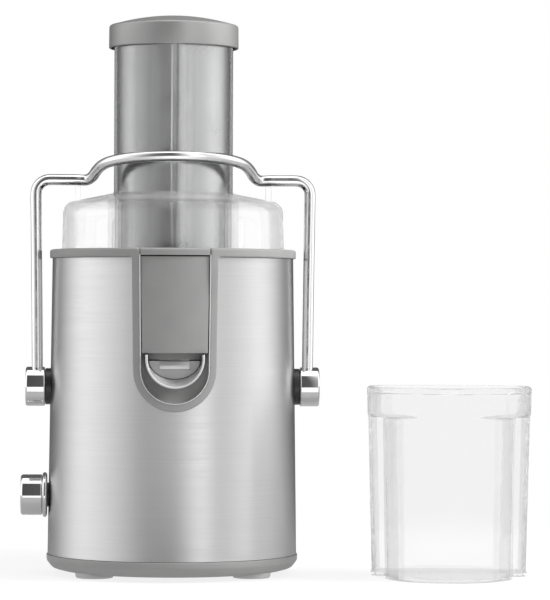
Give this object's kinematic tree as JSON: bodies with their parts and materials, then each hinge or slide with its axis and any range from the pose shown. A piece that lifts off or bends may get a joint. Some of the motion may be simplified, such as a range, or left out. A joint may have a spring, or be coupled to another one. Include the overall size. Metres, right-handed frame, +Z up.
{
  "type": "centrifugal juicer",
  "caption": "Centrifugal juicer with a brushed steel body, wide feed tube and pusher, locking bail, spinning filter basket, clear juice jug and rear pulp container.",
  "frame": {"origin": "on the table, under the middle of the set's box: juicer, jug at its right, pulp container behind it", "axes": "+Z up along the set's longest side, -Y out of the juicer's front where the spout is, +X to the right seen from the front"},
  "size_m": [0.368, 0.2732, 0.4062],
  "materials": {
    "brushed_steel": "brushed around the body, satin",
    "grey_plastic": "satin moulded",
    "dark_plastic": "satin moulded",
    "foot_rubber": "matte",
    "fastener_steel": "ground",
    "motor_steel": "zinc plated and laminated steel",
    "copper": "enamelled copper wire",
    "carbon": "matte carbon",
    "circuit_board": "solder mask",
    "silver_plastic": "glossy silver moulded",
    "clear_plastic": "clear polished",
    "sieve_steel": "perforated stainless steel",
    "chrome": "polished"
  },
  "bodies": {
    "base": {"steel_sleeve": "brushed_steel", "inner_housing": "dark_plastic", "top_collar": "grey_plastic", "base_pan": "grey_plastic", "foot_front_left": "foot_rubber", "foot_front_right": "foot_rubber", "foot_rear_left": "foot_rubber", "foot_rear_right": "foot_rubber", "base_screw_front_left": "fastener_steel", "base_screw_front_right": "fastener_steel", "base_screw_rear_left": "fastener_steel", "base_screw_rear_right": "fastener_steel", "motor_end_frame_lower": "motor_steel", "motor_end_frame_upper": "motor_steel", "stator_core": "motor_steel", "field_coil_lower": "copper", "field_coil_upper": "copper", "brush_holder_left": "copper", "brush_holder_right": "copper", "carbon_brush_left": "carbon", "carbon_brush_right": "carbon", "bearing_lower": "fastener_steel", "bearing_upper": "fastener_steel", "motor_damper_1": "dark_plastic", "motor_damper_2": "dark_plastic", "motor_damper_3": "dark_plastic", "shaft_seal": "dark_plastic", "selector_switch": "dark_plastic", "selector_neck": "dark_plastic", "cord_gland": "dark_plastic", "control_board": "circuit_board", "pivot_spacer_left": "dark_plastic", "pivot_spacer_right": "dark_plastic", "juice_bowl": "grey_plastic", "spout_cover": "grey_plastic", "juice_spout": "silver_plastic"},
    "bail": {"bail_rod": "chrome", "bail_hub_left": "chrome", "bail_hub_right": "chrome", "pivot_pin_left": "fastener_steel", "pivot_pin_right": "fastener_steel"},
    "lid": {"clear_lid": "clear_plastic", "feed_tube": "clear_plastic"},
    "pusher": {"pusher_body": "silver_plastic", "pusher_cap": "grey_plastic"},
    "rotor": {"motor_shaft": "fastener_steel", "armature": "motor_steel", "commutator": "copper", "cooling_fan": "dark_plastic", "drive_coupling": "dark_plastic", "basket_base": "silver_plastic", "grater_disc": "sieve_steel", "filter_sieve": "sieve_steel", "basket_rim": "silver_plastic"},
    "knob": {"selector_knob": "chrome", "selector_flange": "chrome", "selector_shaft": "fastener_steel"},
    "jug": {"juice_jug": "clear_plastic"},
    "pulp_bin": {"pulp_container": "clear_plastic"}
  },
  "joints": [
    {"name": "bail_swing", "type": "hinge", "parent": "base", "child": "bail", "pos_m": [-0.07387, -0.03136, 0.1355], "axis": [1, 0, 0], "range_deg": [0, 100]},
    {"name": "lid_lift", "type": "slide", "parent": "base", "child": "lid", "axis": [0, 0, 1], "range_m": [0, 0.08]},
    {"name": "pusher_slide", "type": "slide", "parent": "lid", "child": "pusher", "axis": [0, 0, 1], "range_m": [0, 0.16]},
    {"name": "basket_spin", "type": "hinge", "parent": "base", "child": "rotor", "pos_m": [-0.07387, -0.03136, 0.16], "axis": [0, 0, 1], "continuous": true},
    {"name": "selector_turn", "type": "hinge", "parent": "base", "child": "knob", "pos_m": [-0.17387, -0.03136, 0.0566], "axis": [1, 0, 0], "range_deg": [-45, 90]},
    {"name": "jug_lift", "type": "slide", "parent": "base", "child": "jug", "axis": [0, 0, 1], "range_m": [0, 0.2]},
    {"name": "pulp_bin_slide", "type": "slide", "parent": "base", "child": "pulp_bin", "axis": [0, 1, 0], "range_m": [0, 0.12]}
  ],
  "couplings": [
    {"joint": "lid_lift", "follows": "bail_swing", "m_per_rad": 0.0458}
  ]
}
